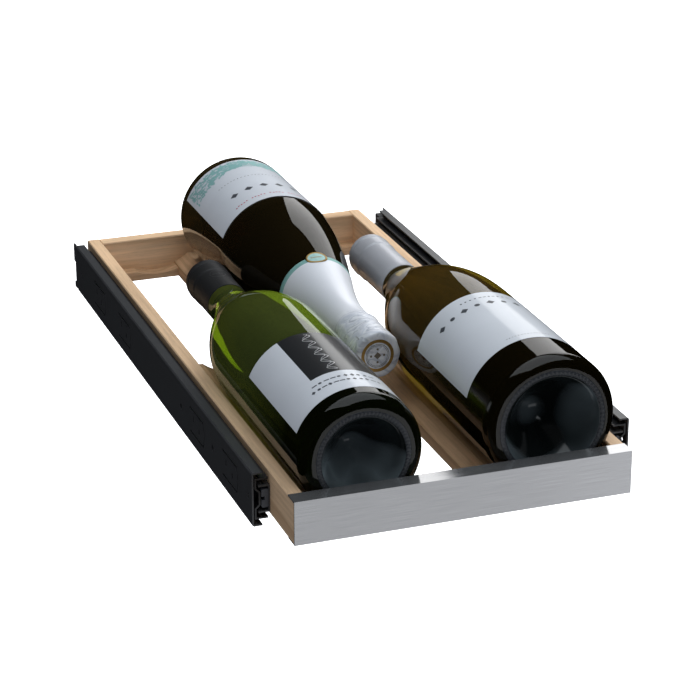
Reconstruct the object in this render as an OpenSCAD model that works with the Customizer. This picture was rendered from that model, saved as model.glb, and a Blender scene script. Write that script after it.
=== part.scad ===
// Pull-out wooden wine shelf of a wine cooler, with its two telescopic slides
// and the three bottles that it carries.
// Millimetres. +Z is up, the steel trim faces -Y and the shelf pulls out along -Y.
// The origin is the centre of the whole object, on the level of the slides' lower edges.

/* [Shelf] */
// Outer width of the shelf, over its two side rails
shelf_w = 223; // [218:1:300]
// Depth of the shelf, from the trim's face to the back of the rear rail
shelf_d = 500; // [490:1:620]
// Height of the rails and of the trim
rail_h = 29; // [27:0.5:34]
// Thickness of the side rails
rail_t = 9.5; // [8:0.5:12]
// Thickness of the rear rail
rear_rail_t = 11.5; // [9:0.5:16]
// Small bevel on the rails' long edges
edge_bevel = 0.7; // [0.4:0.1:1]

/* [Trim] */
// Sheet thickness of the steel trim
trim_sheet = 1; // [0.8:0.1:1.5]
// Depth of the trim's upper and lower returns
trim_lip = 12.2; // [9:0.1:18]

/* [Bottle supports] */
// Clear gap between the two slats, which carries the middle bottle
middle_bay_w = 38; // [30:1:44]
// Clear gap between a slat and its side board, which carries a side bottle
side_bay_w = 33; // [26:1:38]
// Distance from a rail's inner face to the axis of the bottle beside it
axis_to_rail = 39.6; // [39:0.1:44]
// Radius of the hollowed seats
seat_r = 44.8; // [44.8:0.1:50]
// Depth of the seats' edges below the top of the shelf
seat_edge_drop = 21.2; // [19:0.1:22]
// Depth of the slats' flat tops below the top of the shelf
slat_drop = 15; // [12:0.5:18]
// Length of the side boards, from the inside of the front rail
side_board_len = 252; // [180:1:300]
// Height of the battens that carry the slats
batten_h = 6.7; // [5:0.1:7]
// Depth of the battens
batten_d = 11.9; // [9:0.1:16]

/* [Slides] */
// Height of the cabinet member
slide_h = 36.1; // [34:0.1:46]
// Depth of the slide's centre line below the top of the shelf
slide_drop = 17.6; // [16:0.1:24]
// Width of a closed slide, from the rail to the cabinet wall
slide_t = 11.8; // [11.8:0.1:13]
// Sheet thickness of the slide members
slide_sheet = 1.1; // [1:0.05:1.2]
// Distance from the trim's face to the front ends of the slides
slide_front = 46.8; // [30:0.1:60]
// Distance from the rear ends of the slides to the back of the shelf
slide_rear_gap = 3.2; // [1:0.1:20]
// Thickness of the packing strip between the right rail and its slide
packing_t = 8.5; // [4:0.5:12]
// Radius of the balls in the outer rows
outer_ball_r = 1.8; // [1.7:0.05:1.9]
// Radius of the balls in the inner rows
inner_ball_r = 1.9; // [1.8:0.05:2]
// Number of balls in each row
balls_per_row = 8; // [4:1:12]
// Radius of the middle pair of screw holes
slide_hole_r = 2.25; // [2:0.05:2.5]
// Radius of the end pair of screw holes
end_hole_r = 1.8; // [1.5:0.05:2]

/* [Bottles] */
// Body radius of the left bottle
left_bottle_r = 40.3; // [34:0.1:42]
// Body radius of the right bottle
right_bottle_r = 44.2; // [36:0.1:44.2]
// Body radius of the sparkling wine bottle in the middle
middle_bottle_r = 44.4; // [37:0.1:44.4]
// Length of each side bottle
side_bottle_len = 331; // [300:1:335]
// Length of the sparkling wine bottle over its cap
middle_bottle_len = 322; // [300:1:330]
// Thickness of the glass
glass_t = 2.6; // [2:0.1:4]
// Radius of the bore in a bottle's neck
neck_bore_r = 9.3; // [9:0.1:10]

/* [Hidden] */
$fn = 64;
cut = 1;                                   // how far a cutter runs past what it cuts

// Shelf, in its own frame: x from the centre line, y from the trim's face, z from the top edge
half_w = shelf_w / 2;
inner_half_w = half_w - rail_t;
rear_rail_y = shelf_d - rear_rail_t;
bottom_z = -rail_h;
batten_top = bottom_z + batten_h;
side_axis_x = inner_half_w - axis_to_rail;
slat_in = middle_bay_w / 2;
slat_out = side_axis_x - side_bay_w / 2;
board_in = side_axis_x + side_bay_w / 2;
board_rear_y = trim_lip + side_board_len;
screw_x = (slat_in + slat_out) / 2;

// Bottles rest on the seats' edges with this much air
seat_gap = 0.3;
seat_edge_z = -seat_edge_drop;
function rest_z(r, bay) = seat_edge_z + sqrt(pow(r, 2) - pow(bay / 2, 2));
side_seat_z = rest_z(seat_r, side_bay_w);
middle_seat_z = rest_z(seat_r, middle_bay_w);
left_axis_z = rest_z(left_bottle_r + seat_gap, side_bay_w);
right_axis_z = rest_z(right_bottle_r + seat_gap, side_bay_w);
middle_axis_z = rest_z(middle_bottle_r + seat_gap, middle_bay_w);
side_base_y = trim_lip + 0.8;
middle_base_y = rear_rail_y - 9.5;
batten_scoop_drop = 1;                     // the battens stay this much lower than the seats

// Dowels and screws of the wooden frame
dowel_r = 3;
dowel_in_rail = 6;
dowel_len = 26;
dowel_zs = [-8, 8 - rail_h];
screw_r = 1.75;
screw_head_r = 3.4;
screw_head_t = 1.8;
slat_screw_len = 11.2;
batten_screw_len = 18;
batten_screw_r = 1.2;
batten_head_r = 2;
batten_head_t = 1;
batten_screw_dx = 9;                       // each side of a slat screw
batten_screw_xs = [for (x = [-screw_x, screw_x], s = [-1, 1]) x + s * batten_screw_dx];
trim_screw_len = 11;
trim_screw_r = 1.5;
trim_head_r = 2.8;
trim_screw_x = inner_half_w + dowel_in_rail - dowel_len - 6;

// Slides: u runs outwards from the shelf member's back, w up from the centre line
slide_z = -slide_drop;
slide_rear = shelf_d - slide_rear_gap;
slide_len = slide_rear - slide_front;
bumper_len = 10;
member_rear = slide_rear - bumper_len - 0.6;
web_out = slide_t;
web_in = slide_t - slide_sheet;
flange_reach = 5.1;                        // how near the cabinet member's flanges come to the rail
outer_h = slide_h / 2;
outer_in_h = outer_h - slide_sheet;
ball_gap = 3.15;                           // between the flanges of two neighbouring members
mid_h = outer_in_h - ball_gap;
mid_in_h = mid_h - slide_sheet;
inner_ball_gap = 3.4;
shelf_mem_h = mid_in_h - inner_ball_gap;
race_gap = 0.06;
outer_ball_u = 7.6;
outer_ball_w = outer_in_h - ball_gap / 2;
inner_ball_u = 4.3;
inner_ball_w = mid_in_h - inner_ball_gap / 2;
mid_flange_in = 1;
mid_web_out = web_in - 0.9;
mid_web_in = mid_web_out - slide_sheet;
kink_h = 4;
kink_in = 6.05;
shelf_mem_depth = mid_web_in - 1.1;
cage_t = 0.5;
cage_arm_t = 0.8;
cage_air = 0.3;
cage_front = slide_front + 118;
cage_len = 200;
ball_pitch = cage_len / balls_per_row;

// Punched features of the cabinet member's web, as distances from the slide's front end
mount_holes = [83.4, 155.5];
end_holes = [7.9, slide_len - 23];
tab_fronts = [30.6, 103.5, slide_len - 163.5, slide_len - 93.2];
tab_len = 31;
tab_h = 17;
tab_slot_h = 1.8;
tab_line_depth = 0.4;
tab_line_w = 0.9;
tab_arc_r = 14;

// Screws that hold the shelf members to the rails
member_screw_ys = [40, 215, slide_len - 65];
member_screw_bite = 7.5;
lever_pivot_y = slide_front + 150;
lever_arm = 42;

// Whole object
shelf_x = -packing_t / 2;
shelf_y = -shelf_d / 2;
shelf_z = slide_drop + slide_h / 2;

module in_shelf() translate([shelf_x, shelf_y, shelf_z]) children();

// Extrudes an outline of (x, z) along Y, or one of (y, z) along X
module run_y(y0, y1) translate([0, y1, 0]) rotate([90, 0, 0]) linear_extrude(y1 - y0) children();
module run_x(x0, x1) translate([x0, 0, 0]) rotate([90, 0, 90]) linear_extrude(x1 - x0) children();

// Box from one corner to the other
module block(low, high) translate(low) cube(high - low);

// Rod along an axis
module rod_x(x0, x1, y, z, r) translate([x0, y, z]) rotate([0, 90, 0]) cylinder(h = x1 - x0, r = r);
module rod_y(y0, y1, x, z, r) translate([x, y0, z]) rotate([-90, 0, 0]) cylinder(h = y1 - y0, r = r);
module rod_z(z0, z1, x, y, r) translate([x, y, z0]) cylinder(h = z1 - z0, r = r);

// Rectangle with bevelled corners
module bevelled(low, high, b) polygon([
    [low.x + b, low.y], [high.x - b, low.y], [high.x, low.y + b], [high.x, high.y - b],
    [high.x - b, high.y], [low.x + b, high.y], [low.x, high.y - b], [low.x, low.y + b]
]);

/* ---- Wooden frame and trim ---- */

// Places of the corner dowels: at both ends of the front rail and of the rear rail
front_dowel_y = (trim_sheet + trim_lip) / 2;
rear_dowel_y = rear_rail_y + rear_rail_t / 2;
module corner_dowel_set(extra = 0)
    for (s = [-1, 1], y = [front_dowel_y, rear_dowel_y], z = dowel_zs) {
        x0 = s > 0 ? inner_half_w + dowel_in_rail - dowel_len : -inner_half_w - dowel_in_rail;
        rod_x(x0 - extra, x0 + dowel_len + extra, y, z, dowel_r + extra / 4);
    }

board_dowel_z = (batten_top + bottom_z) / 2 + 1.5;
board_dowel_r = 2;
board_dowel_len = 20;
board_dowel_end = 40;                      // from a board's end to its first dowel
board_dowel_ys = [for (i = [0:2]) trim_lip + board_dowel_end + i * (side_board_len / 2 - board_dowel_end)];
module board_dowel_set(extra = 0)
    for (s = [-1, 1], y = board_dowel_ys) {
        x0 = s > 0 ? inner_half_w + dowel_in_rail - board_dowel_len : -inner_half_w - dowel_in_rail;
        rod_x(x0 - extra, x0 + board_dowel_len + extra, y, board_dowel_z, board_dowel_r + extra / 4);
    }

module side_rail(s) difference() {
    run_y(trim_sheet, shelf_d) {
        x0 = s > 0 ? inner_half_w : -half_w;
        bevelled([x0, bottom_z], [x0 + rail_t, 0], edge_bevel);
    }
    for (z = [-trim_sheet, bottom_z - cut])
        block([-half_w - cut, 0, z], [half_w + cut, trim_lip, z + trim_sheet + cut]);
    corner_dowel_set(0.2);
    board_dowel_set(0.2);
    member_screw_holes(s);
}

module left_side_rail() color("burlywood") in_shelf() side_rail(-1);
module right_side_rail() color("burlywood") in_shelf() side_rail(1);

module front_rail() color("burlywood") in_shelf() difference() {
    block([-inner_half_w, trim_sheet, bottom_z + trim_sheet], [inner_half_w, trim_lip, -trim_sheet]);
    corner_dowel_set(0.2);
    batten_screw_set(0.2);
    trim_screw_set(0.2);
}

module rear_rail() color("burlywood") in_shelf() difference() {
    run_x(-inner_half_w, inner_half_w) bevelled([rear_rail_y, bottom_z], [shelf_d, 0], edge_bevel);
    corner_dowel_set(0.2);
    batten_screw_set(0.2);
}

module front_trim() color("silver") in_shelf() difference() {
    block([-half_w, 0, bottom_z], [half_w, trim_lip, 0]);
    block([-half_w - cut, trim_sheet, bottom_z + trim_sheet], [half_w + cut, trim_lip + cut, -trim_sheet]);
    trim_screw_set(0);
}

// Seats: the round hollows along the three bottle axes
module seat_circles(drop = 0) {
    for (s = [-1, 1]) translate([s * side_axis_x, side_seat_z - drop]) circle(r = seat_r, $fn = 128);
    translate([0, middle_seat_z - drop]) circle(r = seat_r, $fn = 128);
}

module batten(y0, reach) difference() {
    run_y(y0, y0 + batten_d) difference() {
        translate([-reach, bottom_z]) square([2 * reach, batten_h]);
        seat_circles(batten_scoop_drop);
    }
    slat_screw_set(0.2);
    batten_screw_set(0.2);
}
module front_batten() color("tan") in_shelf() batten(trim_lip, board_in);
module rear_batten() color("tan") in_shelf() batten(rear_rail_y - batten_d, inner_half_w);

module slat(s) difference() {
    run_y(trim_lip, rear_rail_y) difference() {
        translate([s > 0 ? slat_in : -slat_out, bottom_z]) square([slat_out - slat_in, rail_h - slat_drop]);
        seat_circles();
    }
    for (y = [trim_lip - cut, rear_rail_y - batten_d])
        block([-half_w, y, bottom_z - cut], [half_w, y + batten_d + cut, batten_top]);
    slat_screw_set(0.2);
}
module left_slat() color("tan") in_shelf() slat(-1);
module right_slat() color("tan") in_shelf() slat(1);

module side_board(s) difference() {
    run_y(trim_lip, board_rear_y) difference() {
        translate([s > 0 ? board_in : -inner_half_w, bottom_z])
            square([inner_half_w - board_in, rail_h - slat_drop]);
        seat_circles();
    }
    board_dowel_set(0.2);
}
module left_side_board() color("tan") in_shelf() side_board(-1);
module right_side_board() color("tan") in_shelf() side_board(1);

module corner_dowels() color("wheat") in_shelf() corner_dowel_set();
module board_dowels() color("wheat") in_shelf() board_dowel_set();

// A screw along +Z with its countersunk head at the bottom
module screw(len, r, head_r, head_t) {
    cylinder(h = len, r = r, $fn = 32);
    cylinder(h = head_t, r1 = head_r, r2 = r, $fn = 32);
}
module slat_screw_set(extra = 0)
    for (s = [-1, 1], y = [trim_lip + batten_d / 2, rear_rail_y - batten_d / 2])
        translate([s * screw_x, y, bottom_z - extra])
            screw(slat_screw_len + 2 * extra, screw_r + extra / 4,
                screw_head_r + 2 * extra, screw_head_t + extra);
module batten_screw_set(extra = 0)
    for (x = batten_screw_xs, s = [-1, 1]) {
        y = s < 0 ? trim_lip + batten_d : rear_rail_y - batten_d;
        translate([x, y, (bottom_z + batten_top) / 2]) rotate([s < 0 ? 90 : -90, 0, 0])
            screw(batten_screw_len + extra, batten_screw_r + extra / 4, batten_head_r, batten_head_t);
    }
module trim_screw_set(extra = 0)
    for (x = [-trim_screw_x, 0, trim_screw_x])
        translate([x, (trim_sheet + trim_lip) / 2 - 0.5, bottom_z])
            screw(trim_screw_len + extra, trim_screw_r + extra / 4, trim_head_r, trim_sheet);
module slat_screws() color("gray") in_shelf() slat_screw_set();
module batten_screws() color("gray") in_shelf() batten_screw_set();
module trim_screws() color("gray") in_shelf() trim_screw_set();

module right_packing_strip() color("black") in_shelf() difference() {
    run_y(slide_front + 6, member_rear)
        translate([half_w, slide_z - shelf_mem_h]) square([packing_t, 2 * shelf_mem_h]);
    member_screw_holes(1);
}

/* ---- Slides ---- */

// Puts a slide on its side of the shelf: u outwards along X, w up
function packing(s) = s > 0 ? packing_t : 0;
module on_slide(s) in_shelf() {
    x0 = half_w + packing(s);
    if (s > 0) translate([x0, 0, slide_z]) children();
    else mirror([1, 0, 0]) translate([x0, 0, slide_z]) children();
}

// Holes for the member screws in the rail and in the packing strip
module member_screw_holes(s)
    for (y = member_screw_ys) {
        x0 = half_w - member_screw_bite - 0.5;
        x1 = half_w + packing(s) + cut;
        rod_x(s > 0 ? x0 : -x1, s > 0 ? x1 : -x0, slide_front + y, slide_z, screw_r + 0.05);
    }

// Both ball races of a slide, as circles that the flanges are hollowed with
module outer_races()
    for (s = [-1, 1]) translate([outer_ball_u, s * outer_ball_w]) circle(r = outer_ball_r + race_gap, $fn = 48);
module inner_races()
    for (s = [-1, 1]) translate([inner_ball_u, s * inner_ball_w]) circle(r = inner_ball_r + race_gap, $fn = 48);

module cabinet_profile() difference() {
    bevelled([flange_reach - 4, -outer_h], [web_out, outer_h], 0.9);
    translate([flange_reach - 5, -outer_in_h]) square([web_in - flange_reach + 5, 2 * outer_in_h]);
    translate([flange_reach - 5, -outer_h - cut]) square([5, 2 * outer_h + 2 * cut]);
    outer_races();
}

// One punched tab of the web: two long slots, two short ones and a bent front line
module tab_cuts(y0) {
    for (s = [-1, 1]) {
        block([web_in - cut, y0, s * tab_h / 2 - tab_slot_h / 2],
              [web_out + cut, y0 + tab_len, s * tab_h / 2 + tab_slot_h / 2]);
        block([web_in - cut, y0 + tab_len * (s > 0 ? 0.72 : 0.3), s > 0 ? 0.5 : -3.5],
              [web_out + cut, y0 + tab_len * (s > 0 ? 0.72 : 0.3) + 2, s > 0 ? 4.5 : 0.5]);
    }
    translate([web_out - tab_line_depth, y0 + tab_arc_r - 2, 0]) rotate([0, 90, 0])
        linear_extrude(tab_line_depth + cut) intersection() {
            difference() {
                circle(r = tab_arc_r, $fn = 96);
                circle(r = tab_arc_r - tab_line_w, $fn = 96);
            }
            translate([-tab_h / 2, -tab_arc_r - cut]) square([tab_h, tab_arc_r]);
        }
}

// Cut-outs at the rear end of the web, for the hook that engages the cabinet
module rear_notches() {
    block([web_in - cut, slide_rear - 4, -outer_h + 5], [web_out + cut, slide_rear + cut, 4]);
    block([flange_reach - cut, slide_rear - 7, outer_h - 4.5], [web_in, slide_rear + cut, outer_h + cut]);
    block([web_in - cut, slide_rear - 9, -outer_h - cut], [web_out + cut, slide_rear - 4, -outer_h + 2.6]);
}

module cabinet_member(s) color("#232325") on_slide(s) difference() {
    run_y(slide_front, slide_rear) cabinet_profile();
    for (y = mount_holes) rod_x(web_in - cut, web_out + cut, slide_front + y, 0, slide_hole_r);
    for (y = end_holes) rod_x(web_in - cut, web_out + cut, slide_front + y, 0, end_hole_r);
    for (y = tab_fronts) tab_cuts(slide_front + y);
    rear_notches();
}
module left_cabinet_member() cabinet_member(-1);
module right_cabinet_member() cabinet_member(1);

module rear_bumper(s) color("#111111") on_slide(s) difference() {
    block([flange_reach - 1, member_rear + 0.6, -mid_h], [web_in, slide_rear - 0.4, mid_h]);
    rod_x(web_in - 2.2, web_in + cut, slide_rear - 5, 0, 2);
    block([0, member_rear, -3], [web_in - 2.5, slide_rear, 3]);
}
module left_rear_bumper() rear_bumper(-1);
module right_rear_bumper() rear_bumper(1);

// Intermediate member: flanges with races on both faces, and a web kinked towards the shelf
module intermediate_profile() difference() {
    union() {
        for (s = [-1, 1]) {
            translate([mid_flange_in, s > 0 ? mid_in_h : -mid_h])
                square([mid_web_out - mid_flange_in, slide_sheet]);
            polygon([
                [mid_web_in, s * mid_h], [mid_web_out, s * mid_h],
                [mid_web_out, s * (kink_h + 2.6)], [kink_in + slide_sheet, s * kink_h],
                [kink_in + slide_sheet, 0], [kink_in, 0],
                [kink_in, s * (kink_h + 0.4)], [mid_web_in, s * (kink_h + 3)]
            ]);
        }
    }
    outer_races();
    inner_races();
}
module intermediate_member(s) color("#2a2a2d") on_slide(s) difference() {
    run_y(slide_front + 0.8, member_rear) intermediate_profile();
    for (y = [30, slide_len - 60]) rod_x(kink_in - cut, kink_in + 2 * cut, slide_front + y, 0, 2.5);
}
module left_intermediate_member() intermediate_member(-1);
module right_intermediate_member() intermediate_member(1);

// Shelf member: a channel with its back on the rail
module shelf_member_profile() difference() {
    bevelled([0, -shelf_mem_h], [shelf_mem_depth + 2, shelf_mem_h], 0.8);
    translate([slide_sheet, slide_sheet - shelf_mem_h])
        square([shelf_mem_depth + 2, 2 * (shelf_mem_h - slide_sheet)]);
    translate([shelf_mem_depth, -shelf_mem_h - cut]) square([3, 2 * (shelf_mem_h + cut)]);
    inner_races();
}
module shelf_member(s) color("#2f2f32") on_slide(s) difference() {
    run_y(slide_front, member_rear) shelf_member_profile();
    for (y = member_screw_ys) rod_x(-cut, slide_sheet + cut, slide_front + y, 0, screw_r + 0.05);
    rod_x(-cut, slide_sheet + cut, lever_pivot_y, 0, 1.55);
}
module left_shelf_member() shelf_member(-1);
module right_shelf_member() shelf_member(1);

module slide_screws(s) color("dimgray") on_slide(s)
    for (y = member_screw_ys) translate([0, slide_front + y, 0]) {
        rod_x(-packing(s) - member_screw_bite, slide_sheet, 0, 0, screw_r);
        difference() {
            rod_x(slide_sheet, slide_sheet + screw_head_t, 0, 0, screw_head_r);
            for (a = [0, 90]) rotate([a, 0, 0])
                block([slide_sheet + 0.8, -2, -0.4], [slide_sheet + screw_head_t + cut, 2, 0.4]);
        }
    }
module left_slide_screws() slide_screws(-1);
module right_slide_screws() slide_screws(1);

// Ball cages: a thin strip along the web with an arm over each row of balls
module cage_profile(web_u, arm_w, arm_in, kink) {
    for (s = [-1, 1]) {
        translate([arm_in, s > 0 ? arm_w - cage_arm_t / 2 : -arm_w - cage_arm_t / 2])
            square([web_u + cage_t - arm_in, cage_arm_t]);
        if (kink > 0) polygon([
            [web_u, s * arm_w], [web_u + cage_t, s * arm_w], [web_u + cage_t, s * (kink_h + 3.3)],
            [kink + cage_t, s * (kink_h + 0.6)], [kink + cage_t, 0], [kink, 0],
            [kink, s * (kink_h + 0.8)], [web_u, s * (kink_h + 3.5)]
        ]);
        else translate([web_u, s > 0 ? 0 : -arm_w]) square([cage_t, arm_w]);
    }
}
function ball_ys() = [for (i = [0:balls_per_row - 1]) cage_front + (i + 0.5) * ball_pitch];
module ball_rows(u, w, r, s) color("silver") on_slide(s)
    for (y = ball_ys(), k = [-1, 1]) translate([u, y, k * w]) sphere(r = r, $fn = 32);
module ball_pockets(u, w, r)
    for (y = ball_ys(), k = [-1, 1]) rod_z(k * w - cut, k * w + cut, u, y, r + 0.05);

outer_cage_u = mid_web_out + 0.2;
inner_cage_u = shelf_mem_depth + cage_air;
inner_cage_kink = kink_in - cage_air - cage_t;
module outer_cage(s) color("#3a3a3d") on_slide(s) difference() {
    run_y(cage_front, cage_front + cage_len) cage_profile(outer_cage_u, outer_ball_w, flange_reach + 0.5, 0);
    ball_pockets(outer_ball_u, outer_ball_w, outer_ball_r);
}
module inner_cage(s) color("#3a3a3d") on_slide(s) difference() {
    run_y(cage_front, cage_front + cage_len)
        cage_profile(inner_cage_u, inner_ball_w, inner_ball_u - 2.6, inner_cage_kink);
    ball_pockets(inner_ball_u, inner_ball_w, inner_ball_r);
}
module left_outer_cage() outer_cage(-1);
module right_outer_cage() outer_cage(1);
module left_inner_cage() inner_cage(-1);
module right_inner_cage() inner_cage(1);
module left_outer_balls() ball_rows(outer_ball_u, outer_ball_w, outer_ball_r, -1);
module right_outer_balls() ball_rows(outer_ball_u, outer_ball_w, outer_ball_r, 1);
module left_inner_balls() ball_rows(inner_ball_u, inner_ball_w, inner_ball_r, -1);
module right_inner_balls() ball_rows(inner_ball_u, inner_ball_w, inner_ball_r, 1);

// Plastic stop in the front end of the shelf member
stop_u = 5.5;
stop_h = shelf_mem_h - slide_sheet - 2;
module front_stop(s) color("#18181a") on_slide(s) difference() {
    run_y(slide_front + 0.4, slide_front + 24)
        bevelled([slide_sheet, -stop_h], [stop_u, stop_h], 0.8);
    block([3.4, slide_front, -1.2], [stop_u + cut, slide_front + 18, 1.2]);
}
module left_front_stop() front_stop(-1);
module right_front_stop() front_stop(1);

// Lever that unhooks the shelf member, on a stub that turns in the member's back
module release_lever(s) color("#18181a") on_slide(s) translate([0, lever_pivot_y, 0]) {
    rod_x(0.1, slide_sheet + 1.2, 0, 0, 1.5);
    rod_x(slide_sheet + 0.2, inner_cage_kink - cage_air, 0, 0, 3);
    block([slide_sheet + 0.2, -lever_arm, -1.6], [3.6, lever_arm * 0.6, 1.6]);
    block([slide_sheet + 0.2, -lever_arm, -2.2], [inner_cage_kink - cage_air, -lever_arm + 8, 2.2]);
}
module left_release_lever() release_lever(-1);
module right_release_lever() release_lever(1);

/* ---- Bottles ---- */

// A bottle stands on its base in its own frame, and is then laid along Y.
// Side bottles lie with the base at the front, the middle one with the base at the back.
module lay_side(s, axis_z) in_shelf()
    translate([s * side_axis_x, side_base_y, axis_z]) rotate([-90, 0, 0]) children();
module lay_middle() in_shelf()
    translate([0, middle_base_y, middle_axis_z]) rotate([90, 0, 0]) children();

// Radius along the shoulder, from the body at share 0 to the neck at share 1
function ease(t) = t * t * (3 - 2 * t);
function shoulder_r(body_r, neck_r, share, bend) = body_r - (body_r - neck_r) * ease(pow(share, bend));

// Outline of a bottle: punt, bearing ring, heel, body, shoulder and neck, as (radius, height).
// A bottle is a list: body radius, neck radius, ring radius, punt depth,
// shoulder start, shoulder end, bend of the shoulder, finish height, overall height.
function body_of(b) = b[0];
function neck_of(b) = b[1];
function ring_of(b) = b[2];
function punt_of(b) = b[3];
function finish_of(b) = b[7];
function glass_len(b) = b[8];
function reversed(list) = [for (i = [len(list) - 1:-1:0]) list[i]];
heel_h = 9;
ring_w = 3.6;
finish_extra = 0.6;
function dome(x) = pow(max(0, cos(90 * x)), 1.3);
function outside(b) = concat(
    [for (i = [0:8]) [(ring_of(b) - ring_w) * i / 8, punt_of(b) * dome(i / 8)]],
    [[ring_of(b) - ring_w / 2, 0]],
    [for (a = [0:15:90]) [ring_of(b) + (body_of(b) - ring_of(b)) * sin(a), heel_h * (1 - cos(a))]],
    [for (i = [0:20]) [shoulder_r(body_of(b), neck_of(b), i / 20, b[6]), b[4] + (b[5] - b[4]) * i / 20]],
    [
        [neck_of(b), finish_of(b)], [neck_of(b) + finish_extra, finish_of(b) + 1.5],
        [neck_of(b) + finish_extra, glass_len(b) - 1], [neck_of(b) + finish_extra - 1, glass_len(b)],
        [0, glass_len(b)]
    ]
);
base_t = 5;
function inside(b, gap) = concat(
    [for (i = [0:6]) [(ring_of(b) + 1) * i / 6, punt_of(b) * dome(i / 6) + base_t + gap]],
    [for (a = [30:30:90]) [
        ring_of(b) + 1 + (body_of(b) - glass_t - gap - ring_of(b) - 1) * sin(a),
        base_t + gap + 7 * (1 - cos(a))
    ]],
    [for (i = [0:18]) [
        max(neck_bore_r - gap, shoulder_r(body_of(b) - glass_t, neck_bore_r + 2, i / 20, b[6]) - gap),
        b[4] + (b[5] - b[4]) * i / 20
    ]],
    [[neck_bore_r - gap, b[5] + 6]]
);
side_glass_len = side_bottle_len - 0.4;
side_finish = side_bottle_len - 20;
left_bottle = [left_bottle_r, 14.6, left_bottle_r * 0.767, 32, 172, 272, 1.2, side_finish, side_glass_len];
right_bottle = [right_bottle_r, 15, right_bottle_r * 0.808, 34, 137, 267, 1.5, side_finish, side_glass_len];
middle_bottle = [middle_bottle_r, 15.2, middle_bottle_r * 0.8, 36, 89, 264, 1.2, 284, middle_bottle_len - 16];
cork_len = 44;
cork_gap = 0.05;
air_share = 0.74;                          // height of the wine's surface, as a share of the body radius

module glass(b) difference() {
    rotate_extrude($fn = 96) polygon(outside(b));
    rotate_extrude($fn = 96) polygon(concat(inside(b, 0), [
        [neck_bore_r, glass_len(b) + cut], [0, glass_len(b) + cut]
    ]));
}

// Wine, with the air on top of it as the bottle lies; up is +1 or -1 along the bottle's own Y
module wine(b, up) difference() {
    rotate_extrude($fn = 96) polygon(concat(inside(b, 0.1), [
        [neck_bore_r - 0.1, glass_len(b) - cork_len - 1], [0, glass_len(b) - cork_len - 1]
    ]));
    translate([-100, up > 0 ? body_of(b) * air_share : -body_of(b) * air_share - 100, -cut])
        cube([200, 100, glass_len(b)]);
}
module cork(b) translate([0, 0, glass_len(b) - cork_len - 0.5])
    cylinder(h = cork_len, r = neck_bore_r - cork_gap);

// Capsule: a thin cap over the neck, wider over the finish and with a bead below its end
capsule_t = 0.3;
function outer_r(b, h) = shoulder_r(body_of(b), neck_of(b), min(1, (h - b[4]) / (b[5] - b[4])), b[6]);
function capsule_foot(b, low, gap) = [
    [gap + outer_r(b, low), low], if (low < b[5]) [gap + neck_of(b), b[5]]
];
module capsule(b, len) rotate_extrude($fn = 96) {
    r = neck_of(b) + 0.05;
    h = glass_len(b);
    f = finish_extra;
    polygon(concat(capsule_foot(b, h - len, 0.05 + capsule_t), [
        [r + capsule_t, finish_of(b) - 0.5],
        [r + f + capsule_t, finish_of(b) + 1.2], [r + f + capsule_t, h - 6.4],
        [r + f + capsule_t + 0.35, h - 5.6], [r + f + capsule_t, h - 4.8],
        [r + f + capsule_t, h - 0.8], [r + f - 0.9, h + 0.4], [0, h + 0.4], [0, h + 0.05],
        [r + f - 0.95, h + 0.05], [r + f, h - 0.95], [r + f, finish_of(b) + 1.4], [r, finish_of(b) - 0.3]
    ], reversed(capsule_foot(b, h - len, 0.05))));
}

// Label: a thin sheet on the body, between two heights and two angles from straight up.
// Turned is +1 for a side bottle and -1 for the middle one, whose base is at the back.
label_t = 0.2;
module label(r, h0, h1, a0, a1, turned)
    rotate([0, 0, turned > 0 ? a0 - 90 : 90 - a1])
        rotate_extrude(angle = a1 - a0, $fn = 96)
            translate([r + 0.03, h0]) square([label_t, h1 - h0]);

left_label_low = 16.5;
left_label_mid = 44.5;
left_label_high = 111;
right_label_low = 36;
right_label_high = 121;
module left_bottle_glass() color("darkolivegreen") lay_side(-1, left_axis_z) glass(left_bottle);
module left_bottle_wine() color("olive") lay_side(-1, left_axis_z) wine(left_bottle, -1);
module left_bottle_cork() color("peru") lay_side(-1, left_axis_z) cork(left_bottle);
module left_bottle_capsule() color("#202022") lay_side(-1, left_axis_z) capsule(left_bottle, 53);
module left_bottle_label() color("white") lay_side(-1, left_axis_z) {
    label(left_bottle_r, left_label_low, left_label_mid, -68, 68, 1);
    label(left_bottle_r, left_label_mid, left_label_high, -68, -27.5, 1);
}
module left_bottle_label_panel() color("#202022") lay_side(-1, left_axis_z)
    label(left_bottle_r, left_label_mid + 0.1, left_label_high, -27.4, 68, 1);

module right_bottle_glass() color("#1c3a1c") lay_side(1, right_axis_z) glass(right_bottle);
module right_bottle_wine() color("darkgoldenrod") lay_side(1, right_axis_z) wine(right_bottle, -1);
module right_bottle_cork() color("peru") lay_side(1, right_axis_z) cork(right_bottle);
module right_bottle_capsule() color("gainsboro") lay_side(1, right_axis_z) capsule(right_bottle, 70);
module right_bottle_label() color("white") lay_side(1, right_axis_z)
    label(right_bottle_r, right_label_low, right_label_high, -78, 78, 1);

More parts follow.
